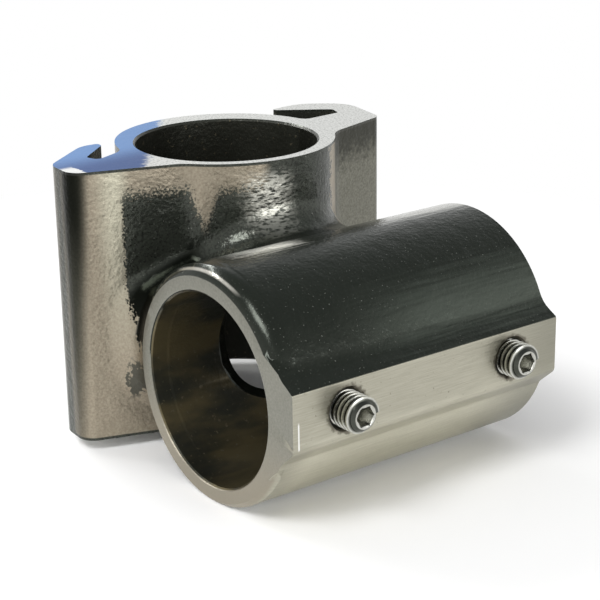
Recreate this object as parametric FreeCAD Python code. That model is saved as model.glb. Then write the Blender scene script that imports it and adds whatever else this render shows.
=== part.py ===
import FreeCAD, Part
import math
import os

# A cast clamp block that joins two crossing tubes.
# An upright sleeve with two hooked wings stands behind a level sleeve, and two
# set screws in the level sleeve's pad clamp both tubes.
# Z runs along the upright bore, X along the level bore, and -Y faces the pad.
# The origin is on the upright bore's axis, halfway up the upright sleeve.

# The two tubes and their bores
tube_diameter = 25.4
bore_clearance = 0.3
tube_gap = 0.4
bore_edge_break = 0.3

# Upright sleeve, whose wall is thin in front and thick at the back
block_height = 38.1
front_wall = 1.75
back_wall = 3.75
upright_shift_right = 0.5

# Both wings
wing_front_blend = 5.0
left_back_blend = 3.0
right_back_blend = 1.4
groove_end_round = 0.8

# Left wing, seen from above: lengths run outwards from the upright sleeve's
# outside, insets run back inwards from the wing's end
left_wing = {
    "length": 11.4,
    "sweep": 19.0,
    "end_front": -2.7,
    "end_back": 3.2,
    "end_lean": -0.5,
    "front_round": 2.5,
    "back_round": 3.5,
    "crest_inset": 9.0,
    "crest_back": 9.8,
    "crest_round": 4.0,
    "lip_thickness": 1.3,
    "lip_angle": 100.0,
    "lip_round": 0.45,
    "groove_inset": 6.4,
    "groove_back": 3.8,
    "groove_slant": 41.5,
    "groove_length": 6.9,
    "groove_width": 2.25,
    "groove_end_angle": 104.0,
    "floor_slant": 24.0,
}

# Right wing: a longer lip over a wider groove
right_wing = {
    "length": 10.1,
    "sweep": 17.5,
    "end_front": -2.9,
    "end_back": 7.0,
    "end_lean": 2.2,
    "front_round": 2.0,
    "back_round": 4.5,
    "crest_inset": 3.5,
    "crest_back": 12.0,
    "crest_round": 6.0,
    "lip_thickness": 0.9,
    "lip_angle": 112.0,
    "lip_round": 0.35,
    "groove_inset": 2.2,
    "groove_back": 5.4,
    "groove_slant": 37.0,
    "groove_length": 8.4,
    "groove_width": 2.5,
    "groove_end_angle": 108.0,
    "floor_slant": -4.0,
}

# Level sleeve, whose wall is thickest in front and on top
sleeve_length = 44.45
sleeve_drop = 1.6
sleeve_wall = 2.95
sleeve_shift_front = 0.65
sleeve_shift_up = 0.7
sleeve_end_break = 0.3
sleeve_blend = 4.0

# Crowned edge of the level sleeve's near end, outside a flat ring
ring_wall = 2.0
crown_rise = 2.0
crown_length = 2.8
shoulder_rise = 1.45
shoulder_length = 1.1
crown_pad_margin = 0.25

# Flat pad along the level sleeve
pad_proud = 3.2
pad_above_axis = 4.9
pad_below_axis = 2.75
pad_top_slope = 29.0
pad_under_slope = 41.0
pad_top_round = 0.4
pad_under_round = 1.2
pad_top_blend = 4.0
pad_under_blend = 2.0

# Cast window through the wall between the bores
window_half_width_upright = 8.1
window_half_width_level = 11.3
window_half_height = 9.1

# Set screws
screw_diameter = 4.83
screw_length = 6.35
screw_fit = 0.05
screw_spacing = 27.6
near_screw_proud = 3.4
far_screw_proud = 2.9
screw_end_chamfer = 0.45
screw_cup_diameter = 2.4
screw_cup_depth = 0.6
hex_across_flats = 2.38
hex_depth = 2.6
countersink_depth = 0.45

# Worked out from the values above
bore_radius = (tube_diameter + bore_clearance) / 2
bore_offset = tube_diameter + tube_gap
upright_radius = bore_radius + (front_wall + back_wall) / 2
upright_centre_y = (back_wall - front_wall) / 2
sleeve_radius = bore_radius + sleeve_wall
half_sleeve = sleeve_length / 2
lower_face = -block_height / 2
level_z = lower_face + bore_radius + sleeve_wall - sleeve_shift_up - sleeve_drop
pad_face = bore_radius + ring_wall + pad_proud
pad_middle = level_z + (pad_above_axis - pad_below_axis) / 2
pad_face_y = -bore_offset - pad_face
screw_radius = screw_diameter / 2
screw_hole_radius = screw_radius + screw_fit

UP = FreeCAD.Vector(0, 0, 1)
ALONG = FreeCAD.Vector(1, 0, 0)
INWARD = FreeCAD.Vector(0, 1, 0)
ORIGIN = FreeCAD.Vector(0, 0, 0)
# How far a cutter runs past the face that it cuts
OVERSHOOT = 2.0
# The upright sleeve's axis, and the level sleeve's outside about its own bore
UPRIGHT_CENTRE = FreeCAD.Vector(upright_shift_right, upright_centre_y, lower_face)
SLEEVE_CENTRE = FreeCAD.Vector(0, -sleeve_shift_front, sleeve_shift_up)


def polar(length, angle):
    """A step of a given length in the XY plane."""
    turn = math.radians(angle)
    return FreeCAD.Vector(length * math.cos(turn), length * math.sin(turn), 0)


def rounded_face(corners):
    """A flat face in XY. Each corner is its point and the radius of its round."""
    rounds = []
    for index, (corner, radius) in enumerate(corners):
        if radius == 0:
            rounds.append((corner, None, corner))
            continue
        to_before = (corners[index - 1][0] - corner).normalize()
        to_after = (corners[(index + 1) % len(corners)][0] - corner).normalize()
        bisector = (to_before + to_after).normalize()
        half_angle = to_before.getAngle(to_after) / 2
        run = radius / math.tan(half_angle)
        crown = corner + bisector * (radius / math.sin(half_angle) - radius)
        rounds.append((corner + to_before * run, crown, corner + to_after * run))
    edges = []
    for index, (start, crown, end) in enumerate(rounds):
        if crown:
            edges.append(Part.Arc(start, crown, end).toShape())
        edges.append(Part.makeLine(end, rounds[(index + 1) % len(rounds)][0]))
    return Part.Face(Part.Wire(edges))


def wing(size):
    """A wing on the right-hand side: front face, rounded end, hooked lip and groove."""
    reach = upright_radius + size["length"]
    front_end = FreeCAD.Vector(reach, size["end_front"], lower_face)
    back_end = FreeCAD.Vector(reach + size["end_lean"], size["end_back"], lower_face)
    lip_crest = FreeCAD.Vector(reach - size["crest_inset"], size["crest_back"], lower_face)
    groove_end = FreeCAD.Vector(reach - size["groove_inset"], size["groove_back"], lower_face)
    lip_inside = groove_end + polar(size["groove_length"], 180 - size["groove_slant"])
    lip_outside = lip_inside + polar(size["lip_thickness"], size["lip_angle"])
    groove_floor = groove_end + polar(size["groove_width"], -size["groove_end_angle"])
    floor_run = groove_floor.x - bore_radius
    floor_root = groove_floor + polar(floor_run, 180 - size["floor_slant"])
    front_root = front_end + polar(reach - bore_radius / 2, 180 + size["sweep"])
    corners = [
        (front_root, 0),
        (front_end, size["front_round"]),
        (back_end, size["back_round"]),
        (lip_crest, size["crest_round"]),
        (lip_outside, size["lip_round"]),
        (lip_inside, size["lip_round"]),
        (groove_end, groove_end_round),
        (groove_floor, groove_end_round),
        (floor_root, 0),
    ]
    return rounded_face(corners).extrude(UP * block_height)


def root_edges(body, axis_point, axis, radius):
    """The edges along an axis that lie on the cylinder of that radius about it."""
    found = []
    for edge in body.Edges:
        middle = edge.valueAt((edge.FirstParameter + edge.LastParameter) / 2) - axis_point
        across = middle - axis * middle.dot(axis)
        run = edge.Vertexes[-1].Point - edge.Vertexes[0].Point
        if abs(run.dot(axis)) > 0.99 * edge.Length and abs(across.Length - radius) < 0.001:
            found.append(edge)
    return found


def upright_body():
    """The upright sleeve with both wings, their roots blended into it."""
    sleeve = Part.makeCylinder(upright_radius, block_height, UPRIGHT_CENTRE, UP)
    body = sleeve.fuse([wing(right_wing), wing(left_wing).mirror(ORIGIN, ALONG)]).removeSplitter()
    roots = root_edges(body, UPRIGHT_CENTRE, UP, upright_radius)
    body = body.makeFillet(wing_front_blend, [edge for edge in roots if edge.CenterOfMass.y < 0])
    for side, blend in ((-1, left_back_blend), (1, right_back_blend)):
        roots = root_edges(body, UPRIGHT_CENTRE, UP, upright_radius)
        back = [edge for edge in roots if edge.CenterOfMass.y > 0 and edge.CenterOfMass.x * side > 0]
        body = body.makeFillet(blend, back)
    return body


def pad_prism(margin, overrun):
    """The pad's section, drawn in XY and turned so that it runs along X."""
    top_run = pad_proud * 2
    top_drop = top_run * math.tan(math.radians(pad_top_slope))
    under_drop = top_run * math.tan(math.radians(pad_under_slope))
    front = -pad_face - margin
    top = pad_above_axis + margin
    bottom = -pad_below_axis - margin
    section = rounded_face([
        (FreeCAD.Vector(front, top, 0), pad_top_round),
        (FreeCAD.Vector(front + top_run, top + top_drop, 0), 0),
        (FreeCAD.Vector(front + top_run, bottom - under_drop, 0), 0),
        (FreeCAD.Vector(front, bottom, 0), pad_under_round),
    ])
    section.rotate(ORIGIN, FreeCAD.Vector(1, 1, 1), 120)
    section.translate(ALONG * (-half_sleeve - overrun))
    return section.extrude(ALONG * (sleeve_length + 2 * overrun))


def crown():
    """A round bar on the bore's axis whose near end falls in two steps to the flat ring."""
    ring_radius = bore_radius + ring_wall
    far_outside = FreeCAD.Vector(half_sleeve, 0, ring_radius + crown_rise)
    outline = [
        ALONG * -half_sleeve,
        FreeCAD.Vector(-half_sleeve, 0, ring_radius),
        FreeCAD.Vector(-half_sleeve + shoulder_length, 0, ring_radius + shoulder_rise),
        FreeCAD.Vector(-half_sleeve + crown_length, 0, ring_radius + crown_rise),
        far_outside,
        ALONG * half_sleeve,
        ALONG * -half_sleeve,
    ]
    return Part.Face(Part.makePolygon(outline)).revolve(ORIGIN, ALONG, 360)


def level_body():
    """The level sleeve with its pad, made about its own bore and put in place."""
    start = SLEEVE_CENTRE - ALONG * half_sleeve
    sleeve = Part.makeCylinder(sleeve_radius, sleeve_length, start, ALONG)
    body = sleeve.fuse(pad_prism(0, 0)).removeSplitter()
    roots = root_edges(body, SLEEVE_CENTRE, ALONG, sleeve_radius)
    body = body.makeFillet(pad_top_blend, [edge for edge in roots if edge.CenterOfMass.z > 0])
    roots = root_edges(body, SLEEVE_CENTRE, ALONG, sleeve_radius)
    under = [edge for edge in roots if -sleeve_radius < edge.CenterOfMass.z < -pad_below_axis]
    body = body.makeFillet(pad_under_blend, under)
    rim = [edge for edge in body.Edges if edge.CenterOfMass.x > half_sleeve - 0.001]
    body = body.makeChamfer(sleeve_end_break, rim)
    # The pad keeps its full length where the crown would cut it
    body = body.common(crown().fuse(pad_prism(crown_pad_margin, OVERSHOOT))).removeSplitter()
    body.translate(FreeCAD.Vector(0, -bore_offset, level_z))
    return body


def is_seam(edge):
    """True for an edge where the level sleeve meets the upright one."""
    axis_point = FreeCAD.Vector(0, -bore_offset, level_z) + SLEEVE_CENTRE
    for share in (0.2, 0.5, 0.8):
        place = edge.FirstParameter + share * (edge.LastParameter - edge.FirstParameter)
        from_level = edge.valueAt(place) - axis_point
        from_upright = edge.valueAt(place) - UPRIGHT_CENTRE
        if abs(math.hypot(from_level.y, from_level.z) - sleeve_radius) > 0.01:
            return False
        if abs(math.hypot(from_upright.x, from_upright.y) - upright_radius) > 0.01:
            return False
    return True


def ellipse_wire(y, half_width, half_height):
    """An ellipse across the Y axis, level with the level bore."""
    centre = FreeCAD.Vector(0, y, level_z)
    if half_width > half_height:
        major = centre + ALONG * half_width
        minor = centre + UP * half_height
    else:
        major = centre + UP * half_height
        minor = centre + ALONG * half_width
    return Part.Wire(Part.Ellipse(major, minor, centre).toShape())


def window_cutter():
    """The window widens from the upright bore to the level bore."""
    upright_y = -math.sqrt(bore_radius ** 2 - window_half_width_upright ** 2)
    level_y = -bore_offset + bore_radius
    widening = (window_half_width_level - window_half_width_upright) / (upright_y - level_y)
    start_y = upright_y + OVERSHOOT / 2
    end_y = -bore_offset + math.sqrt(bore_radius ** 2 - window_half_height ** 2) - OVERSHOOT / 2
    start_half_width = window_half_width_upright - widening * OVERSHOOT / 2
    end_half_width = window_half_width_upright + widening * (upright_y - end_y)
    start = ellipse_wire(start_y, start_half_width, window_half_height)
    end = ellipse_wire(end_y, end_half_width, window_half_height)
    return Part.makeLoft([start, end], True, True)


def bore_cutter(start, axis, length):
    """A bore with a small break at both mouths."""
    mouth = bore_radius + bore_edge_break
    end = start + axis * length
    hole = Part.makeCylinder(bore_radius, length + 2 * OVERSHOOT, start - axis * OVERSHOOT, axis)
    first = Part.makeCone(mouth, bore_radius, bore_edge_break, start, axis)
    last = Part.makeCone(mouth, bore_radius, bore_edge_break, end, axis * -1)
    return hole.fuse([first, last])


def screw_hole_cutter(x):
    """A set screw's hole, from the pad into the level bore, with its countersink."""
    mouth = FreeCAD.Vector(x, pad_face_y, pad_middle)
    depth = pad_face - bore_radius / 2 + OVERSHOOT
    hole = Part.makeCylinder(screw_hole_radius, depth, mouth - INWARD * OVERSHOOT, INWARD)
    sink_radius = screw_hole_radius + countersink_depth
    sink = Part.makeCone(sink_radius, screw_hole_radius, countersink_depth, mouth, INWARD)
    return hole.fuse(sink)


def clamp_body():
    """The whole casting: both sleeves joined and blended, then bored and drilled."""
    joined = upright_body().fuse(level_body()).removeSplitter()
    joined = joined.makeFillet(sleeve_blend, [edge for edge in joined.Edges if is_seam(edge)])
    level_start = FreeCAD.Vector(-half_sleeve, -bore_offset, level_z)
    cutters = [
        window_cutter(),
        bore_cutter(UP * lower_face, UP, block_height),
        bore_cutter(level_start, ALONG, sleeve_length),
        screw_hole_cutter(-screw_spacing / 2),
        screw_hole_cutter(screw_spacing / 2),
    ]
    for cutter in cutters:
        joined = joined.cut(cutter)
    return joined.removeSplitter()


def set_screw(x, proud):
    """A socket set screw: chamfered ends, a hex socket outside and a cup point inside."""
    start = FreeCAD.Vector(x, pad_face_y - proud, pad_middle)
    end = start + INWARD * screw_length
    neck = screw_radius - screw_end_chamfer
    plain_start = start + INWARD * screw_end_chamfer
    plain = Part.makeCylinder(screw_radius, screw_length - 2 * screw_end_chamfer, plain_start, INWARD)
    outer_end = Part.makeCone(neck, screw_radius, screw_end_chamfer, start, INWARD)
    inner_end = Part.makeCone(neck, screw_radius, screw_end_chamfer, end, INWARD * -1)
    screw = plain.fuse([outer_end, inner_end]).removeSplitter()
    corner_radius = hex_across_flats / math.sqrt(3)
    corners = []
    for step in range(7):
        turn = math.radians(60 * step)
        corners.append(start + FreeCAD.Vector(math.sin(turn), 0, math.cos(turn)) * corner_radius)
    socket = Part.Face(Part.makePolygon(corners)).extrude(INWARD * hex_depth)
    cup_radius = screw_cup_diameter / 2
    cup = Part.makeCone(cup_radius, cup_radius / 4, screw_cup_depth, end, INWARD * -1)
    return screw.cut(socket).cut(cup)


def main():
    os.makedirs("parts", exist_ok=True)
    pieces = {
        "clamp_body": clamp_body(),
        "set_screw_near": set_screw(-screw_spacing / 2, near_screw_proud),
        "set_screw_far": set_screw(screw_spacing / 2, far_screw_proud),
    }
    for name, shape in pieces.items():
        print(name, shape.isValid(), len(shape.Solids), round(shape.Volume, 1))
        shape.exportStep(f"parts/{name}.step")


main()
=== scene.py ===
# %% [markdown]
# # A cast clamp block for two crossing tubes
# The object is one stainless casting with two bores that cross, and two short
# set screws that press on the tubes. The engineering model comes in as a fixed
# frame: it is never moved, so every piece made here is placed by its numbers.

# %% Load the fixed frame
import bpy
import bmesh
import math
from mathutils import Matrix, Vector


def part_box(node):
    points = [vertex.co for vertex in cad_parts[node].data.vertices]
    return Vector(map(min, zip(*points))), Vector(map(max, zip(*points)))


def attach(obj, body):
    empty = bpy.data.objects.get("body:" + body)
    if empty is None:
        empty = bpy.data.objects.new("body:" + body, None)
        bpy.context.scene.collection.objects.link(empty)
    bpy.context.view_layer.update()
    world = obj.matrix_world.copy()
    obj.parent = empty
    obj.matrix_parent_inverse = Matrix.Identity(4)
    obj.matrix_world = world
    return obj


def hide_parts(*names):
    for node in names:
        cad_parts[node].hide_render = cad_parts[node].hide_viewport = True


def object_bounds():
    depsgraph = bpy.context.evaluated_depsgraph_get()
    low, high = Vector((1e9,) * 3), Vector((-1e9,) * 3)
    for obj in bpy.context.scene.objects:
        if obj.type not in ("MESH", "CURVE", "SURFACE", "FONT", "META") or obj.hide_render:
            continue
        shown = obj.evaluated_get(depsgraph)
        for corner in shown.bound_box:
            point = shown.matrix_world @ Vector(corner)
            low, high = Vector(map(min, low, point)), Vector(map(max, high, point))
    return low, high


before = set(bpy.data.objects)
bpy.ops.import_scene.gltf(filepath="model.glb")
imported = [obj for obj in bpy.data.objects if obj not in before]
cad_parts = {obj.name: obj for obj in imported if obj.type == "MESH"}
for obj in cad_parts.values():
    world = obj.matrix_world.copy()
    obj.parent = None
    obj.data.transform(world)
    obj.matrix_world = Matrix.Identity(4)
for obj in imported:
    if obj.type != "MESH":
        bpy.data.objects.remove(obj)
cad_box = [list(corner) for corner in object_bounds()]
MM = 0.001


def in_mm(values):
    """Lengths in metres as rounded millimetres, for the lines that a cell prints."""
    return [round(value / MM, 2) for value in values]


print("nodes:", sorted(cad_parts))
print("box in mm:", [in_mm(corner) for corner in cad_box])

# %% [markdown]
# ## Two small helpers
# A colour is read off a screen as 0 to 255, but a shader takes linear light, so
# one helper turns the first into the second. The other adds a node, sets it and
# joins its inputs in one call, which keeps a node tree readable as text.

# %% Helpers for colours and nodes
def srgb(red, green, blue):
    """A screen colour, 0 to 255, as the linear colour that a shader takes."""
    def linear(value):
        share = value / 255
        return share / 12.92 if share <= 0.04045 else ((share + 0.055) / 1.055) ** 2.4
    return (linear(red), linear(green), linear(blue), 1.0)


def add_node(tree, kind, inputs=(), **settings):
    """A node with its settings, and its inputs as (socket, value or link) pairs."""
    made = tree.nodes.new(kind)
    for name, value in settings.items():
        setattr(made, name, value)
    for socket, value in inputs:
        if isinstance(value, bpy.types.NodeSocket):
            tree.links.new(value, made.inputs[socket])
        else:
            made.inputs[socket].default_value = value
    return made


print("mid grey as linear light:", round(srgb(128, 128, 128)[0], 3))

# %% [markdown]
# ## Floor
# A product photograph like this one is shot on a white sweep. A pale floor
# catches a soft shadow near the object. Further out it turns plain white, but
# only to the camera and to the metal's reflections. Light Path tells these rays
# from the others, so the white puts no more light on the object.

# %% Floor
lowest = cad_box[0][2]
floor_half = 3.0
floor_corners = [
    (-floor_half, -floor_half, lowest),
    (floor_half, -floor_half, lowest),
    (floor_half, floor_half, lowest),
    (-floor_half, floor_half, lowest),
]
floor_mesh = bpy.data.meshes.new("floor")
floor_mesh.from_pydata(floor_corners, [], [(0, 1, 2, 3)])
floor = bpy.data.objects.new("floor", floor_mesh)
bpy.context.scene.collection.objects.link(floor)
print("floor at", in_mm([lowest])[0], "mm")

# %% Floor finish
white_starts = 0.045
white_full = 0.13
floor_finish = bpy.data.materials.new("floor_white")
floor_finish.use_nodes = True
floor_tree = floor_finish.node_tree
floor_shader = floor_tree.nodes["Principled BSDF"]
floor_shader.inputs["Base Color"].default_value = srgb(246, 246, 246)
floor_shader.inputs["Roughness"].default_value = 0.9
floor_shader.inputs["Specular IOR Level"].default_value = 0.0
floor_place = add_node(floor_tree, "ShaderNodeTexCoord").outputs["Object"]
floor_reach = add_node(floor_tree, "ShaderNodeVectorMath", [(0, floor_place)],
                       operation="LENGTH").outputs["Value"]
far_floor = add_node(floor_tree, "ShaderNodeMapRange", [
    ("Value", floor_reach), ("From Min", white_starts), ("From Max", white_full)]).outputs[0]
rays = add_node(floor_tree, "ShaderNodeLightPath").outputs
seen_or_mirrored = add_node(floor_tree, "ShaderNodeMath", [
    (0, rays["Is Camera Ray"]), (1, rays["Is Glossy Ray"])], operation="MAXIMUM").outputs[0]
to_white = add_node(floor_tree, "ShaderNodeMath", [
    (0, far_floor), (1, seen_or_mirrored)], operation="MULTIPLY").outputs[0]
plain_white = add_node(floor_tree, "ShaderNodeEmission").outputs[0]
sweep = add_node(floor_tree, "ShaderNodeMixShader", [
    (0, to_white), (1, floor_shader.outputs[0]), (2, plain_white)]).outputs[0]
floor_tree.links.new(sweep, floor_tree.nodes["Material Output"].inputs["Surface"])
floor_mesh.materials.append(floor_finish)
print("floor turns white between", in_mm([white_starts, white_full]), "mm out")

# %% [markdown]
# ## World
# The world is a plain pale grey light. Light Path lets the camera see it as a
# white backdrop. The metal's reflections see a backdrop that dims overhead, as
# the unlit ceiling of a studio does, and that gives the polish its contrast.

# %% World
ambient_strength = 0.6
dimming_starts = 0.15
dimming_ends = 0.75
overhead = (0.38, 0.40, 0.41, 1.0)
plain = (1.0, 1.0, 1.0, 1.0)
world = bpy.data.worlds.new("studio")
bpy.context.scene.world = world
world.use_nodes = True
sky = world.node_tree
sky.nodes.clear()
sky_rays = add_node(sky, "ShaderNodeLightPath").outputs
sky_direction = add_node(sky, "ShaderNodeTexCoord").outputs["Generated"]
sky_height = add_node(sky, "ShaderNodeSeparateXYZ", [(0, sky_direction)]).outputs["Z"]
dimming = add_node(sky, "ShaderNodeValToRGB", [(0, sky_height)])
low_stop, high_stop = dimming.color_ramp.elements
low_stop.position = dimming_starts
low_stop.color = plain
high_stop.position = dimming_ends
high_stop.color = overhead
ambient = add_node(sky, "ShaderNodeBackground", [(0, plain), (1, ambient_strength)]).outputs[0]
backdrop = add_node(sky, "ShaderNodeBackground", [(0, plain), (1, 1.0)]).outputs[0]
mirrored = add_node(sky, "ShaderNodeBackground", [(0, dimming.outputs["Color"]), (1, 1.0)]).outputs[0]
in_metal = add_node(sky, "ShaderNodeMixShader", [
    (0, sky_rays["Is Glossy Ray"]), (1, ambient), (2, mirrored)]).outputs[0]
chosen = add_node(sky, "ShaderNodeMixShader", [
    (0, sky_rays["Is Camera Ray"]), (1, in_metal), (2, backdrop)]).outputs[0]
add_node(sky, "ShaderNodeOutputWorld", [(0, chosen)])
bpy.context.scene.view_settings.view_transform = "Standard"
print("world light", ambient_strength)

# %% [markdown]
# ## Lamps
# Three soft boxes: a key from the upper left, a broad fill from the front right
# and a strip behind that draws a bright line along the rounded edges.

# %% Soft boxes
lamps_face = Vector((0.0, -0.02, 0.0))


def soft_box(name, place, width, height, power):
    """An area lamp at a place in metres that faces the object."""
    lamp = bpy.data.lights.new(name, "AREA")
    lamp.shape = "RECTANGLE"
    lamp.size = width
    lamp.size_y = height
    lamp.energy = power
    holder = bpy.data.objects.new(name, lamp)
    holder.location = place
    holder.rotation_euler = (lamps_face - Vector(place)).to_track_quat("-Z", "Y").to_euler()
    bpy.context.scene.collection.objects.link(holder)


soft_box("key", place=(-0.45, -0.15, 0.55), width=0.3, height=0.3, power=3.0)
soft_box("fill", place=(0.1, -0.7, 0.15), width=0.5, height=0.3, power=1.2)
soft_box("strip", place=(-0.1, 0.5, 0.4), width=0.5, height=0.08, power=2.0)

# %% [markdown]
# ## Camera
# The camera stands low in front and to the left, with a long lens. Its place was
# solved from the photograph, so it is written as a place, three angles and a lens.

# %% Camera
camera_place = Vector((-134.24, -192.13, 74.31)) * MM
camera_turn = math.radians(37.401)
camera_dip = math.radians(18.729)
camera_roll = math.radians(-0.864)
camera_lens = 101.89
forward = Vector((math.sin(camera_turn) * math.cos(camera_dip),
                  math.cos(camera_turn) * math.cos(camera_dip), -math.sin(camera_dip)))
level_right = Vector((math.cos(camera_turn), -math.sin(camera_turn), 0.0))
level_up = level_right.cross(forward)
right = level_right * math.cos(camera_roll) + level_up * math.sin(camera_roll)
up = level_up * math.cos(camera_roll) - level_right * math.sin(camera_roll)
lens = bpy.data.cameras.new("camera")
lens.sensor_width = 36.0
lens.lens = camera_lens
lens.clip_start = 0.01
camera = bpy.data.objects.new("camera", lens)
camera.matrix_world = Matrix((
    (right.x, up.x, -forward.x, camera_place.x),
    (right.y, up.y, -forward.y, camera_place.y),
    (right.z, up.z, -forward.z, camera_place.z),
    (0.0, 0.0, 0.0, 1.0)))
bpy.context.scene.collection.objects.link(camera)
bpy.context.scene.camera = camera
print("camera in mm:", in_mm(camera_place))

# %% [markdown]
# ## The casting's skin
# The imported node is loose flat triangles, which a polished metal would show as
# facets. A merged copy is shaded smooth, with creases kept where two faces meet
# at a clear angle. Weighted normals keep the flats flat next to their rounds.

# %% Smooth skin over the casting
merge_gap = 0.002 * MM
casting_crease = math.radians(24)
skin_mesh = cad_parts["clamp_body"].data.copy()
skin_mesh.name = "casting_skin"
joiner = bmesh.new()
joiner.from_mesh(skin_mesh)
bmesh.ops.remove_doubles(joiner, verts=joiner.verts, dist=merge_gap)
joiner.to_mesh(skin_mesh)
joiner.free()
skin_mesh.polygons.foreach_set("use_smooth", [True] * len(skin_mesh.polygons))
skin_mesh.set_sharp_from_angle(angle=casting_crease)
casting = bpy.data.objects.new("casting_skin", skin_mesh)
bpy.context.scene.collection.objects.link(casting)
even = casting.modifiers.new("even_normals", "WEIGHTED_NORMAL")
even.keep_sharp = True
print("skin faces:", len(skin_mesh.polygons))

# %% [markdown]
# ## A short way to write a finish
# A finish is built from masks. A mask is a number from 0 to 1 that says where
# something is, and each later mask lays its colour over the earlier ones. This
# small class gives every kind of mask a plain name, so that the node tree can be
# read from top to bottom.

# %% Finish helper
class Finish:
    """A metal material whose nodes are added one call at a time."""

    def __init__(self, name):
        self.material = bpy.data.materials.new(name)
        self.material.use_nodes = True
        self.tree = self.material.node_tree
        self.shader = self.tree.nodes["Principled BSDF"]
        self.shader.inputs["Metallic"].default_value = 1.0
        self.surface = self.node("ShaderNodeTexCoord").outputs

    def node(self, kind, inputs=(), **settings):
        return add_node(self.tree, kind, inputs, **settings)

    def connect(self, socket, value):
        self.tree.links.new(value, self.shader.inputs[socket])

    def maths(self, operation, first, second=0.0):
        return self.node("ShaderNodeMath", [(0, first), (1, second)], operation=operation).outputs[0]

    def place(self):
        """Where a point is on its piece, in millimetres."""
        pairs = [(0, self.surface["Object"]), (3, 1 / MM)]
        return self.node("ShaderNodeVectorMath", pairs, operation="SCALE").outputs[0]

    def split(self, vector):
        """A vector's x, y and z."""
        return tuple(self.node("ShaderNodeSeparateXYZ", [(0, vector)]).outputs)

    def length(self, first, second):
        """The length of a flat vector."""
        squares = [self.maths("MULTIPLY", part, part) for part in (first, second)]
        return self.maths("SQRT", self.maths("ADD", *squares))

    def noise(self, place, scale, detail=2.0, stretch=(1.0, 1.0, 1.0)):
        """Noise from 0 to 1 with about scale features in each millimetre."""
        turned = self.node("ShaderNodeMapping", [("Vector", place), ("Scale", stretch)]).outputs[0]
        pairs = [("Vector", turned), ("Scale", scale), ("Detail", detail)]
        return self.node("ShaderNodeTexNoise", pairs).outputs["Fac"]

    def ragged(self, value, noise, amount):
        """A value that the noise moves to and fro, by up to half the amount."""
        return self.maths("ADD", value, self.maths("MULTIPLY", self.maths("SUBTRACT", noise, 0.5), amount))

    def rise(self, value, start, full):
        """0 below start, 1 above full and a smooth step between them."""
        pairs = [("Value", value), ("From Min", start), ("From Max", full)]
        return self.node("ShaderNodeMapRange", pairs, interpolation_type="SMOOTHSTEP").outputs[0]

    def fall(self, value, fading, gone):
        """1 below fading, 0 above gone and a smooth step between them."""
        return self.without(self.rise(value, fading, gone))

    def band(self, value, start, full, fading, gone):
        """A rise that is followed by a fall."""
        return self.both(self.rise(value, start, full), self.fall(value, fading, gone))

    def both(self, *masks):
        """1 where all the masks are 1."""
        made = masks[0]
        for mask in masks[1:]:
            made = self.maths("MULTIPLY", made, mask)
        return made

    def either(self, *masks):
        """1 where any of the masks is 1."""
        made = masks[0]
        for mask in masks[1:]:
            made = self.maths("MAXIMUM", made, mask)
        return made

    def without(self, mask):
        """1 where the mask is 0."""
        return self.maths("SUBTRACT", 1.0, mask)

    def level(self, mask, off, on):
        """A number that goes from off to on with the mask."""
        return self.node("ShaderNodeMapRange", [("Value", mask), ("To Min", off), ("To Max", on)]).outputs[0]

    def partly(self, mask, share):
        """A mask that only reaches a share, which lets the colour below show through."""
        return self.level(mask, 0.0, share)

    def lay(self, below, colour, mask):
        """A colour laid over another where the mask says."""
        return self.node("ShaderNodeMix", [(0, mask), (6, below), (7, colour)], data_type="RGBA").outputs[2]


print("finish helper ready")

# %% [markdown]
# ## Where each surface of the casting is
# One casting carries many finishes: machined end faces, a milled pad, a faced
# ring, bored holes and polished outsides. Object coordinates in millimetres and
# the object's own normal say which surface a point is on. No faces need to be
# picked by hand, and the pattern stays put when the object moves. A pair of
# limits below says where a mask starts to change and where the change is full.

# %% Coordinates on the casting
steel = Finish("cast_steel_finish")
place = steel.place()
x, y, z = steel.split(place)
face_x, _, face_z = steel.split(steel.surface["Normal"])
level_axis_y = -25.8
level_axis_z = -5.55
from_level_y = steel.maths("SUBTRACT", level_axis_y, y)
from_level_z = steel.maths("SUBTRACT", z, level_axis_z)
level_radius = steel.length(from_level_y, from_level_z)
level_angle = steel.maths("DEGREES", steel.maths("ARCTAN2", from_level_z, from_level_y))
upright_radius = steel.length(x, y)
from_middle_x = steel.maths("ABSOLUTE", x)
from_middle_z = steel.maths("ABSOLUTE", z)
faces_along_x = steel.maths("ABSOLUTE", face_x)
faces_along_z = steel.maths("ABSOLUTE", face_z)
print("coordinates:", len(steel.tree.nodes), "nodes so far")

# %% Bores, end faces and ring
bore_radius = (13.0, 13.05)
square_on = (0.8, 0.95)
end_height = (18.98, 19.02)
ring_face_x = (22.12, 22.2)
ring_back_y = (-10.6, -10.0)
ring_round_x = (-21.9, -21.5)
ring_round_z = (-5.0, -3.5)
half_turned = (0.4, 0.75)
in_level_bore = steel.fall(level_radius, *bore_radius)
in_bore = steel.either(in_level_bore, steel.fall(upright_radius, *bore_radius))
on_end_face = steel.both(steel.rise(from_middle_z, *end_height), steel.rise(faces_along_z, *square_on))
before_ring_back = steel.fall(y, *ring_back_y)
flat_ring = steel.both(steel.rise(from_middle_x, *ring_face_x), steel.rise(faces_along_x, *square_on),
                       before_ring_back)
round_ring = steel.both(steel.fall(x, *ring_round_x), steel.rise(faces_along_x, *half_turned),
                        before_ring_back, steel.fall(z, *ring_round_z))
on_ring = steel.either(flat_ring, round_ring)
print("machined faces:", len(steel.tree.nodes), "nodes so far")

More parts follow.
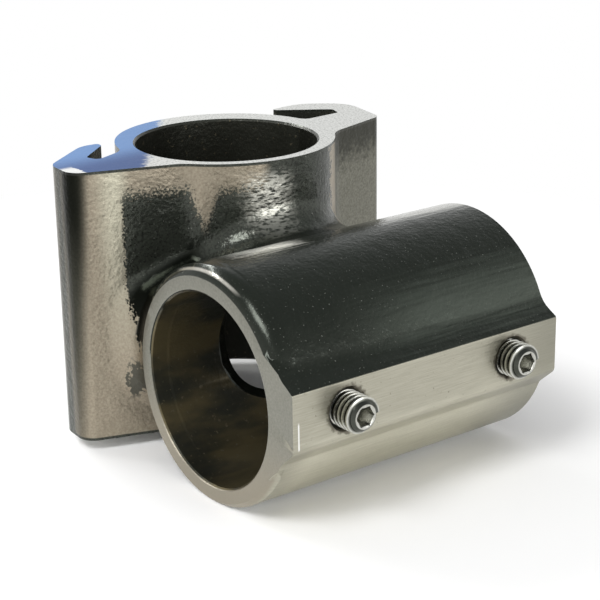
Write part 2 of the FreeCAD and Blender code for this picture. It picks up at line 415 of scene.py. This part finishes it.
# %% Front, sleeve and pad
sleeve_radius = (16.9, 17.3)
before_upright_y = (-39.0, -38.0)
pad_top_z = (-0.78, -0.64)
low_back_y = (-24.0, -15.0)
pad_face_y = (-43.83, -43.75)
front_ends_y = (-1.0, 1.0)
in_front = steel.fall(y, *front_ends_y)
on_sleeve = steel.either(steel.fall(level_radius, *sleeve_radius), steel.fall(y, *before_upright_y))
off_sleeve = steel.without(on_sleeve)
front_off_sleeve = steel.both(in_front, off_sleeve)
on_low_sleeve = steel.both(steel.fall(z, *pad_top_z), steel.fall(y, *low_back_y))
on_pad = steel.fall(y, *pad_face_y)
print("masks:", len(steel.tree.nodes), "nodes so far")

# %% [markdown]
# ## Dark polish and painted tan reflections
# A cast and electropolished face is a dark mirror. Its satin tan patches are
# painted reflections, and their edges are ragged. Adding noise to a coordinate
# before it is compared with a limit makes such an edge: coarse noise gives broad
# bites, and fine noise a crisp, toothed edge.

# %% Noises and ragged coordinates
coarse = steel.noise(place, scale=1.5, detail=9.0)
fine = steel.noise(place, scale=3.2, detail=5.0)
cloud = steel.noise(place, scale=0.22, detail=3.0)
coarse_x = steel.ragged(x, coarse, amount=4.0)
coarse_z = steel.ragged(z, coarse, amount=7.0)
fine_x = steel.ragged(x, fine, amount=2.2)
fine_z = steel.ragged(z, fine, amount=6.0)
grain = steel.rise(fine, 0.25, 0.75)
print("noises:", len(steel.tree.nodes), "nodes so far")

# %% Two colours of the outside
polish = steel.lay(srgb(50, 53, 47), srgb(74, 78, 70), cloud)
polish = steel.lay(polish, srgb(44, 46, 41), steel.rise(fine, 0.42, 0.68))
# The tan and the right wing's greyer tan are the colours of the painted reflections.
tan = steel.lay(srgb(145, 135, 119), srgb(167, 158, 140), grain)
wing_grey = steel.lay(srgb(98, 97, 87), srgb(126, 125, 114), grain)
right_wing_x = (11.0, 12.5)
tan = steel.lay(tan, wing_grey, steel.rise(x, *right_wing_x))
# A painted highlight: a pale beige streak down the left wing's front.
beige = srgb(196, 192, 172)
beige_x = (-24.6, -21.6, -21.4, -19.0)
beige_z = (-10.0, 14.0)
beige_highlight = steel.both(steel.band(x, *beige_x), steel.rise(z, *beige_z), steel.rise(fine, -0.2, 0.6))
tan = steel.lay(tan, beige, beige_highlight)
print("outside colours:", len(steel.tree.nodes), "nodes so far")

# %% [markdown]
# ## Where the painted tan reflections lie
# The left wing and the foot of the front carry a painted tan reflection, with a
# strip along the top edge and a wedge that points down from it. The right wing
# carries a greyer painted reflection. The back has soft clouds of the same satin
# tone, which stay calm in a view from behind.

# %% Painted tan reflections
left_edge_x = (-20.8, -20.4)
foot_z = (-2.0, -1.2)
foot_x = (-8.0, -6.0)
by_ring_radius = (18.6, 19.2)
by_ring_z = (-5.0, -4.2)
by_ring = steel.both(steel.fall(level_radius, *by_ring_radius), steel.rise(coarse_z, *by_ring_z))
foot = steel.both(steel.fall(coarse_z, *foot_z), steel.fall(x, *foot_x))
left_side = steel.fall(fine_x, *left_edge_x)
# A painted tan reflection on the left wing and the foot of the front.
left_reflection = steel.both(steel.either(left_side, foot), in_front, steel.without(by_ring))
# A painted reflection strip along the top edge.
top_strip_z = (14.8, 16.4)
top_strip_x = (-24.5, -23.0, -4.5, -2.5)
top_reflection_strip = steel.both(steel.rise(fine_z, *top_strip_z), steel.band(x, *top_strip_x), in_front)
# A greyer painted reflection on the right wing.
right_patch_x = (8.8, 9.8)
right_reflection = steel.both(steel.rise(coarse_x, *right_patch_x), in_front)
print("patches:", len(steel.tree.nodes), "nodes so far")

# %% Wedge, back and all patches together
# A painted reflection wedge that points down from the strip.
wedge_tip_z = 10.2
wedge_middle_x = -10.7
wedge_slope = 0.25
wedge_half = steel.maths("MULTIPLY", steel.maths("SUBTRACT", z, wedge_tip_z), wedge_slope)
wedge_gap = steel.maths("ABSOLUTE", steel.maths("SUBTRACT", fine_x, wedge_middle_x))
wedge_edge = (-0.4, 0.3)
reflection_wedge = steel.both(steel.rise(steel.maths("SUBTRACT", wedge_half, wedge_gap), *wedge_edge), in_front)
back_starts_y = (0.5, 4.0)
edge_round_z = (18.6, 18.75)
back_cloud = steel.noise(place, scale=0.07, detail=2.0, stretch=(1.0, 1.0, 0.45))
back_cover = steel.partly(steel.rise(back_cloud, 0.3, 0.75), 0.7)
back_patch = steel.both(back_cover, steel.rise(y, *back_starts_y))
# All painted reflections together, with the soft satin clouds at the back.
patches = steel.either(left_reflection, top_reflection_strip, reflection_wedge, right_reflection, back_patch)
patches = steel.both(patches, steel.fall(from_middle_z, *edge_round_z), off_sleeve)
off_patches = steel.without(patches)
colour = steel.lay(polish, tan, patches)
print("all patches:", len(steel.tree.nodes), "nodes so far")

# %% [markdown]
# ## Painted sparkles and shade on the outside
# The polish has fine painted sparkles where pits catch the light, and the left
# wing's end has painted shade that is darkest towards its top. The corner where
# the sleeve meets the wing has painted shade, and one small dull spot sits low
# beside the ring.

# %% Painted sparkles and the shaded left end
sleeve_dark = steel.lay(srgb(22, 27, 21), srgb(40, 45, 37), fine)
colour = steel.lay(colour, sleeve_dark, steel.partly(on_sleeve, 0.85))
# Painted sparkles: fine pale specks on the polish where pits catch the light.
sparkle_noise = steel.noise(place, scale=4.2, detail=1.0)
pit_sparkles = steel.both(steel.rise(sparkle_noise, 0.71, 0.78), off_patches)
colour = steel.lay(colour, srgb(150, 152, 144), steel.partly(pit_sparkles, 0.7))
# Painted shade: darker tones laid on the left wing's rounded end, along a line that leans with height.
shaded_end_tone = steel.lay(srgb(46, 47, 41), srgb(82, 81, 72), fine)
shaded_end_lean = 0.04
shaded_end_x = (-26.8, -25.2)
leaning_x = steel.maths("SUBTRACT", x, steel.maths("MULTIPLY", z, shaded_end_lean))
shaded_end = steel.both(steel.fall(leaning_x, *shaded_end_x), front_off_sleeve)
colour = steel.lay(colour, shaded_end_tone, shaded_end)
print("wear:", len(steel.tree.nodes), "nodes so far")

# %% Painted shade in the corner, shaded end and dull spot
# Painted shade: the corner where the sleeve meets the wing is laid nearly black.
corner_radius = (21.0, 22.5)
corner_x = (-12.5, -10.0)
corner_z = (-5.0, -4.0)
corner = steel.both(steel.fall(level_radius, *corner_radius), steel.fall(x, *corner_x),
                    steel.rise(z, *corner_z), front_off_sleeve, off_patches)
colour = steel.lay(colour, srgb(20, 22, 18), corner)
end_shade_x = (-26.6, -24.4)
end_shade_z = (-2.0, 15.0)
end_shade = steel.both(steel.fall(x, *end_shade_x), steel.rise(z, *end_shade_z), front_off_sleeve)
colour = steel.lay(colour, srgb(16, 18, 14), steel.partly(end_shade, 0.9))
spot_middle_x = -20.2
spot_middle_z = -10.2
spot_height_by_width = 3.0
spot_half_height = (2.6, 3.6)
spot_x = steel.maths("MULTIPLY", steel.maths("SUBTRACT", coarse_x, spot_middle_x), spot_height_by_width)
spot_gap = steel.length(spot_x, steel.maths("SUBTRACT", z, spot_middle_z))
dull_spot = steel.both(steel.fall(spot_gap, *spot_half_height), front_off_sleeve)
colour = steel.lay(colour, srgb(88, 87, 79), dull_spot)
print("shade:", len(steel.tree.nodes), "nodes so far")

# %% Right wing's top and the glints
shaded_x = (12.0, 15.0)
shaded_z = (12.0, 17.0)
shaded_wing = steel.both(right_reflection, steel.rise(coarse_z, *shaded_z), steel.rise(x, *shaded_x), off_sleeve)
colour = steel.lay(colour, srgb(62, 62, 55), shaded_wing)
glint_x = (-7.5, -4.0, -2.5, 1.5)
glint_z = (8.0, 14.0, 15.5, 18.5)
glint_zone = steel.both(steel.band(coarse_x, *glint_x), steel.band(z, *glint_z), front_off_sleeve)
glints = steel.noise(place, scale=1.8, detail=6.0, stretch=(0.6, 0.6, 2.2))
colour = steel.lay(colour, srgb(208, 207, 196), steel.both(glint_zone, steel.rise(glints, 0.38, 0.55)))
print("glints:", len(steel.tree.nodes), "nodes so far")

# %% [markdown]
# ## The level sleeve
# The level sleeve is dark on top, with a painted paler reflection band along it,
# a painted bright reflection at the back and a painted white highlight on the
# blend. The bands are limits on the angle around the sleeve's axis, made streaky
# by a noise that is stretched along X.

# %% Painted reflection bands along the sleeve
streak = steel.noise(place, scale=1.0, detail=5.0, stretch=(0.12, 2.0, 2.0))
streaky_angle = steel.ragged(level_angle, streak, amount=24.0)
# A paler painted reflection band across the front of the sleeve.
pale_reflection_angle = (14.0, 30.0, 30.0, 56.0)
pale_reflection_x = (-14.0, 6.0)
pale_reflection_band = steel.both(steel.band(streaky_angle, *pale_reflection_angle), steel.rise(x, *pale_reflection_x), on_sleeve)
colour = steel.lay(colour, srgb(76, 82, 74), pale_reflection_band)
# A bright painted reflection band along the sleeve's top and back.
bright_reflection_angle = (84.0, 98.0, 110.0, 135.0)
bright_reflection_x = (2.0, 13.0)
bright_reflection_band = steel.both(steel.band(streaky_angle, *bright_reflection_angle), steel.rise(x, *bright_reflection_x), on_sleeve)
colour = steel.lay(colour, srgb(196, 196, 190), steel.partly(bright_reflection_band, 0.85))
print("bands:", len(steel.tree.nodes), "nodes so far")

# %% Highlight on the blend and painted glint along the crest
highlight_x = (-19.0, -12.0, -9.0, -4.5)
highlight_y = (-26.8, -24.8, -23.0, -20.8)
highlight_z = (8.0, 9.0)
streaky_y = steel.ragged(y, streak, amount=5.0)
highlight = steel.both(steel.band(coarse_x, *highlight_x), steel.band(streaky_y, *highlight_y),
                       steel.rise(z, *highlight_z))
colour = steel.lay(colour, srgb(250, 248, 240), highlight)
# A painted glint: a thin pale line along the crown's crest.
crest_glint_x = (-21.75, -21.6, -21.5, -21.35)
crest_glint_y = (-20.0, -17.0)
crest_glint_z = (8.5, 9.5)
crest_glint = steel.both(steel.band(x, *crest_glint_x), steel.rise(z, *crest_glint_z), steel.fall(y, *crest_glint_y))
colour = steel.lay(colour, srgb(180, 177, 168), crest_glint)
print("highlight:", len(steel.tree.nodes), "nodes so far")

# %% [markdown]
# ## Pad and low sleeve
# Below the pad's upper edge the sleeve is a pale satin. The pad is milled, so its
# noise is stretched into fine scratches. The satin has painted light underneath,
# and painted shade makes it darker towards the far end.

# %% Pale satin
milled = steel.noise(place, scale=1.0, detail=6.0, stretch=(0.25, 1.0, 7.0))
satin = steel.lay(srgb(150, 147, 133), srgb(192, 189, 173), milled)
stains = steel.noise(place, scale=2.0, detail=4.0)
satin = steel.lay(satin, srgb(128, 125, 112), steel.rise(stains, 0.66, 0.78))
# Painted light: the satin underneath is laid lighter.
under_satin_lit = steel.lay(srgb(186, 183, 166), srgb(220, 217, 200), milled)
under_x = (-21.5, -17.0)
under_z = (-10.0, -6.5)
underneath = steel.both(steel.fall(z, *under_z), steel.rise(x, *under_x))
satin = steel.lay(satin, under_satin_lit, underneath)
# Painted shade: the satin darkens towards the far end.
far_shade_x = (9.0, 22.0)
satin = steel.lay(satin, srgb(120, 119, 108), steel.partly(steel.rise(x, *far_shade_x), 0.55))
colour = steel.lay(colour, satin, on_low_sleeve)
print("satin:", len(steel.tree.nodes), "nodes so far")

# %% Painted shadow and painted highlight on the pad
screw_apart_x = 13.8
screw_middle_z = -4.475
screw_gap = steel.length(steel.maths("SUBTRACT", from_middle_x, screw_apart_x),
                         steel.maths("SUBTRACT", z, screw_middle_z))
# A painted shadow: a grey ring on the pad around each screw.
screw_shadow_radius = (2.9, 3.4)
near_pad_y = (-43.0, -42.9)
ragged_gap = steel.ragged(screw_gap, coarse, amount=1.5)
screw_shadow = steel.both(steel.fall(ragged_gap, *screw_shadow_radius), steel.fall(y, *near_pad_y))
colour = steel.lay(colour, srgb(112, 108, 97), screw_shadow)
# A painted highlight: a thin white line on the pad by the ring.
pad_glint_x = (-21.5, -21.4, -21.3, -21.2)
pad_glint_z = (-8.2, -7.8, -4.8, -4.2)
pad_glint = steel.both(steel.band(x, *pad_glint_x), steel.band(z, *pad_glint_z), on_pad)
colour = steel.lay(colour, srgb(244, 244, 240), pad_glint)
print("pad marks:", len(steel.tree.nodes), "nodes so far")

# %% [markdown]
# ## Faced ring, end faces and bores
# The ring and the end faces are machined, so they are even and pale. The top face
# mirrors a blue light at its left, laid as a tint that ends at a slanting line,
# and a small white tint stands for the glint on its corner. The bores are dark,
# with brown clouds in the level one.

# %% Ring
ring_colour = steel.lay(srgb(112, 112, 103), srgb(156, 155, 145), fine)
ring_foot_z = (-17.0, -5.0)
ring_foot = steel.partly(steel.fall(z, *ring_foot_z), 0.8)
ring_colour = steel.lay(ring_colour, srgb(162, 154, 138), ring_foot)
colour = steel.lay(colour, ring_colour, on_ring)
print("ring:", len(steel.tree.nodes), "nodes so far")

# %% Top and bottom faces
end_colour = steel.lay(srgb(176, 177, 172), srgb(242, 242, 238), steel.rise(fine, 0.25, 0.6))
slant_x = 0.794
slant_y = 0.607
blue_limit = (-11.0, -9.4)
pale_blue_y = (-2.0, 6.0)
upper_face = steel.rise(z, 0.0, 1.0)
across = steel.maths("SUBTRACT", steel.maths("MULTIPLY", x, slant_x), steel.maths("MULTIPLY", y, slant_y))
ragged_across = steel.ragged(across, coarse, amount=3.0)
blue_side = steel.both(steel.fall(ragged_across, *blue_limit), upper_face)
to_pale_blue = steel.rise(steel.ragged(y, coarse, amount=1.0), *pale_blue_y)
blue = steel.lay(srgb(26, 80, 148), srgb(108, 154, 212), to_pale_blue)
end_colour = steel.lay(end_colour, blue, blue_side)
white_corner_x = (-25.0, -24.7)
white_corner_y = (-0.5, 1.0)
ragged_corner = steel.ragged(x, coarse, amount=0.8)
white_corner = steel.both(steel.fall(ragged_corner, *white_corner_x), steel.fall(y, *white_corner_y),
                          upper_face)
end_colour = steel.lay(end_colour, srgb(252, 252, 250), white_corner)
colour = steel.lay(colour, end_colour, on_end_face)
print("end faces:", len(steel.tree.nodes), "nodes so far")

# %% Bores
bore_cloud = steel.noise(place, scale=0.14, detail=4.0, stretch=(0.4, 1.0, 1.0))
brown_clouds = steel.both(steel.rise(bore_cloud, 0.38, 0.58), in_level_bore)
bore_colour = steel.lay(srgb(52, 53, 46), srgb(98, 89, 64), brown_clouds)
bore_specks = steel.noise(place, scale=1.6, detail=6.0)
bore_colour = steel.lay(bore_colour, srgb(104, 98, 80), steel.rise(bore_specks, 0.62, 0.72))
colour = steel.lay(colour, bore_colour, in_bore)
steel.connect("Base Color", colour)
print("colours:", len(steel.tree.nodes), "nodes")

# %% [markdown]
# ## Gloss and relief
# The dark polish is smoother than the satin and the machined faces. A cast face is
# never quite flat, so two gentle noises lift it like orange peel. Machined
# faces are calmer, and the pad shows its milling.

# %% Metal, roughness and relief
pale = steel.either(patches, on_low_sleeve, on_ring, on_end_face)
metal = steel.level(steel.either(pale, corner), 0.6, 1.0)
steel.connect("Metallic", steel.both(metal, steel.level(in_bore, 1.0, 0.8)))
roughness = steel.ragged(steel.level(pale, 0.2, 0.38), fine, amount=0.12)
steel.connect("Roughness", steel.maths("MAXIMUM", roughness, steel.partly(in_bore, 0.34)))
peel = steel.noise(place, scale=1.9, detail=3.0)
swell = steel.noise(place, scale=0.5, detail=2.0)
swell_share = 1.5
relief_height = 0.07 * MM
crown_x = (-19.8, -19.2)
on_crown = steel.both(on_sleeve, steel.fall(x, *crown_x))
calm = steel.either(on_low_sleeve, on_end_face, on_crown, corner)
relief = steel.maths("ADD", peel, steel.maths("MULTIPLY", swell, swell_share))
relief = steel.maths("MULTIPLY", relief, steel.level(calm, 1.0, 0.25))
relief = steel.maths("ADD", relief, steel.maths("MULTIPLY", milled, steel.partly(on_pad, 0.3)))
bump = steel.node("ShaderNodeBump", [("Strength", 1.0), ("Distance", relief_height), ("Height", relief)])
steel.connect("Normal", bump.outputs[0])
print("finish nodes:", len(steel.tree.nodes))

# %% Dress the casting
skin_mesh.materials.clear()
skin_mesh.materials.append(steel.material)
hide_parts("clamp_body")
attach(casting, "casting")
print("casting dressed")

# %% [markdown]
# ## Set screws
# Each set screw is a short threaded rod with a hex socket. The frame's screws are
# plain rods, so each gets a core with a socket, made ring by ring, and a thread.
# A thread is a small profile that follows a helix, which is what Geometry Nodes
# do well: one curve, one profile and named inputs for the sizes.

# %% Sizes of the set screw
screw_radius = 2.415
thread_pitch = 0.79
thread_depth = 0.42
screw_length = 6.35
end_chamfer = 0.45
hex_half_flats = 1.19
socket_depth = 2.6
socket_lead = 0.1
cone_depth = 0.35
cone_radius = 0.35
rim_inset = 0.3
cup_depth = 0.6
cup_mouth = 1.2
cup_bottom = 0.3
ring_points = 96
root_radius = screw_radius - thread_depth
print("thread turns:", round(screw_length / thread_pitch, 1))


# %% Core with its socket
def hex_reach(turn):
    """How far a hexagon's side is from its middle in a direction."""
    within = (turn + math.pi / 6) % (math.pi / 3) - math.pi / 6
    return hex_half_flats / math.cos(within)


def round_reach(radius):
    """The same reach in every direction."""
    return lambda turn: radius


def screw_core(name, centre_x, tip_y, centre_z):
    """A closed rod along Y, from its socket's floor over the rim to its cup."""
    rim = root_radius - rim_inset
    hex_corner = hex_half_flats * 2 / math.sqrt(3)
    rings = [
        (socket_depth + cone_depth, round_reach(cone_radius)),
        (socket_depth, hex_reach),
        (socket_lead, hex_reach),
        (0.0, round_reach(hex_corner + 0.02)),
        (0.0, round_reach(rim - 0.06)),
        (0.05, round_reach(rim)),
        (end_chamfer, round_reach(root_radius)),
        (screw_length - end_chamfer, round_reach(root_radius)),
        (screw_length, round_reach(rim)),
        (screw_length, round_reach(cup_mouth)),
        (screw_length - cup_depth, round_reach(cup_bottom)),
    ]
    verts = []
    for depth, reach in rings:
        for step in range(ring_points):
            turn = 2 * math.pi * step / ring_points
            verts.append(((centre_x + reach(turn) * math.sin(turn)) * MM, (tip_y + depth) * MM,
                          (centre_z + reach(turn) * math.cos(turn)) * MM))
    faces = [tuple(range(ring_points))]
    for ring in range(len(rings) - 1):
        low = ring * ring_points
        high = low + ring_points
        for step in range(ring_points):
            after = (step + 1) % ring_points
            faces.append((low + step, high + step, high + after, low + after))
    last = (len(rings) - 1) * ring_points
    faces.append(tuple(reversed(range(last, last + ring_points))))
    mesh = bpy.data.meshes.new(name)
    mesh.from_pydata(verts, [], faces)
    shell = bmesh.new()
    shell.from_mesh(mesh)
    bmesh.ops.recalc_face_normals(shell, faces=shell.faces)
    shell.to_mesh(mesh)
    shell.free()
    return mesh


print("core rings have", ring_points, "points")

# %% [markdown]
# ## The thread's tree
# A spiral with equal radii and a height is a helix. Its normals are held upright,
# so the profile doesn't roll on the way, and its radius is tapered at both ends,
# so the thread runs out. The profile is a trapezoid whose lower half lies inside
# the core, and the thread and the core are then joined and given their steel.

# %% Inputs of the thread tree
thread_tree = bpy.data.node_groups.new("screw_thread", "GeometryNodeTree")
thread_sockets = thread_tree.interface
thread_sockets.new_socket("Core", in_out="INPUT", socket_type="NodeSocketGeometry")
for label in ("Root radius", "Depth", "Pitch", "Length"):
    thread_sockets.new_socket(label, in_out="INPUT", socket_type="NodeSocketFloat")
thread_sockets.new_socket("Start", in_out="INPUT", socket_type="NodeSocketVector")
thread_sockets.new_socket("Finish", in_out="INPUT", socket_type="NodeSocketMaterial")
thread_sockets.new_socket("Screw", in_out="OUTPUT", socket_type="NodeSocketGeometry")
given = add_node(thread_tree, "NodeGroupInput").outputs


def thread_node(kind, pairs=(), **settings):
    """A node of the thread tree."""
    return add_node(thread_tree, kind, pairs, **settings)


def thread_maths(operation, first, second):
    """The result of one sum in the thread tree."""
    return thread_node("ShaderNodeMath", [(0, first), (1, second)], operation=operation).outputs[0]


print("thread inputs:", [item.name for item in thread_sockets.items_tree])

# %% Helix that runs out at both ends
steps_per_turn = 72
run_out_share = 0.09
run_out_least = 0.25
turns = thread_maths("DIVIDE", given["Length"], given["Pitch"])
helix = thread_node("GeometryNodeCurveSpiral", [
    ("Resolution", steps_per_turn), ("Rotations", turns), ("Start Radius", given["Root radius"]),
    ("End Radius", given["Root radius"]), ("Height", given["Length"])]).outputs[0]
upright_helix = thread_node("GeometryNodeSetCurveNormal", [("Curve", helix)], mode="Z_UP").outputs[0]
along = thread_node("GeometryNodeSplineParameter").outputs["Factor"]
nearest_end = thread_maths("MINIMUM", along, thread_maths("SUBTRACT", 1.0, along))
run_out = thread_node("ShaderNodeMapRange", [
    ("Value", nearest_end), ("From Min", 0.0), ("From Max", run_out_share),
    ("To Min", run_out_least), ("To Max", 1.0)]).outputs[0]
tapered = thread_node("GeometryNodeSetCurveRadius", [
    ("Curve", upright_helix), ("Radius", run_out)]).outputs[0]
print("helix:", len(thread_tree.nodes), "nodes")

# %% Ridge, joined to the core
foot_share = 0.96
crest_share = 0.25
flat_profile = thread_node("GeometryNodeCurvePrimitiveQuadrilateral", [
    ("Bottom Width", thread_maths("MULTIPLY", given["Pitch"], foot_share)),
    ("Top Width", thread_maths("MULTIPLY", given["Pitch"], crest_share)),
    ("Height", thread_maths("MULTIPLY", given["Depth"], 2.0)), ("Offset", 0.0)],
    mode="TRAPEZOID").outputs[0]
profile = thread_node("GeometryNodeTransform", [
    ("Geometry", flat_profile), ("Rotation", (0.0, 0.0, math.pi / 2))]).outputs[0]
ridge = thread_node("GeometryNodeCurveToMesh", [
    ("Curve", tapered), ("Profile Curve", profile), ("Fill Caps", True)]).outputs[0]
laid = thread_node("GeometryNodeTransform", [
    ("Geometry", ridge), ("Rotation", (-math.pi / 2, 0.0, 0.0)), ("Translation", given["Start"])]).outputs[0]
joined = thread_node("GeometryNodeJoinGeometry")
thread_tree.links.new(given["Core"], joined.inputs[0])
thread_tree.links.new(laid, joined.inputs[0])
real = thread_node("GeometryNodeRealizeInstances", [(0, joined.outputs[0])]).outputs[0]
dressed = thread_node("GeometryNodeSetMaterial", [
    ("Geometry", real), ("Material", given["Finish"])]).outputs[0]
thread_node("NodeGroupOutput", [(0, dressed)])
print("thread tree:", len(thread_tree.nodes), "nodes")

# %% [markdown]
# ## Steel of the screws
# The screws are brighter than the casting, with fine turning marks around them,
# and the thread's valleys have painted shade. The distance from each screw's axis
# says where the valleys are, so one material does for both screws.

# %% Screw steel
bright = Finish("screw_steel_finish")
screw_place = bright.place()
turning = bright.noise(screw_place, scale=2.0, detail=3.0, stretch=(1.0, 6.0, 1.0))
screw_x, _, screw_z = bright.split(screw_place)
off_axis = bright.length(bright.maths("SUBTRACT", bright.maths("ABSOLUTE", screw_x), screw_apart_x),
                         bright.maths("SUBTRACT", screw_z, screw_middle_z))
# Painted shade: the thread's valleys and the rim at the tip are laid dark.
shaded_valley_radius = (1.52, 1.66, 2.05, 2.3)
shaded_valley = bright.band(off_axis, *shaded_valley_radius)
shine = bright.lay(srgb(150, 150, 143), srgb(222, 222, 214), turning)
bright.connect("Base Color", bright.lay(shine, srgb(76, 78, 72), shaded_valley))
bright.connect("Roughness", bright.level(turning, 0.16, 0.3))
turning_depth = 0.03 * MM
screw_bump = bright.node("ShaderNodeBump", [
    ("Strength", 0.25), ("Distance", turning_depth), ("Height", turning)])
bright.connect("Normal", screw_bump.outputs[0])
print("screw steel:", len(bright.tree.nodes), "nodes")

# %% [markdown]
# ## Making both screws
# The frame says where each plain screw is. The thread's modifier is applied by
# hand: the finished shape is copied to a plain mesh and the modifier is removed,
# because only then does the piece take its place in the frame.

# %% Make both screws
screw_crease = math.radians(35)


def make_screw(name, node, body):
    """A threaded screw in the place of the frame's plain one, riding its body."""
    low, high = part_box(node)
    centre_x = (low.x + high.x) / 2 / MM
    centre_z = (low.z + high.z) / 2 / MM
    tip_y = low.y / MM
    screw = bpy.data.objects.new(name, screw_core(name, centre_x, tip_y, centre_z))
    bpy.context.scene.collection.objects.link(screw)
    maker = screw.modifiers.new("thread", "NODES")
    maker.node_group = thread_tree
    values = {
        "Root radius": root_radius * MM,
        "Depth": thread_depth * MM,
        "Pitch": thread_pitch * MM,
        "Length": (screw_length - 2 * end_chamfer) * MM,
        "Start": (centre_x * MM, (tip_y + end_chamfer) * MM, centre_z * MM),
        "Finish": bright.material,
    }
    for item in thread_sockets.items_tree:
        if item.in_out == "INPUT" and item.name in values:
            maker[item.identifier] = values[item.name]
    bpy.context.view_layer.update()
    ready = screw.evaluated_get(bpy.context.evaluated_depsgraph_get())
    plain_mesh = bpy.data.meshes.new_from_object(ready)
    screw.modifiers.remove(maker)
    screw.data = plain_mesh
    plain_mesh.polygons.foreach_set("use_smooth", [True] * len(plain_mesh.polygons))
    plain_mesh.set_sharp_from_angle(angle=screw_crease)
    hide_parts(node)
    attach(screw, body)
    points = [vertex.co / MM for vertex in plain_mesh.vertices]
    radius = max(math.hypot(point.x - centre_x, point.z - centre_z) for point in points)
    ends = [round(end(point.y for point in points), 2) for end in (min, max)]
    print(name, "faces", len(plain_mesh.polygons), "radius", round(radius, 2), "y", ends)


make_screw("near_set_screw", "set_screw_near", "near_screw")
make_screw("far_set_screw", "set_screw_far", "far_screw")
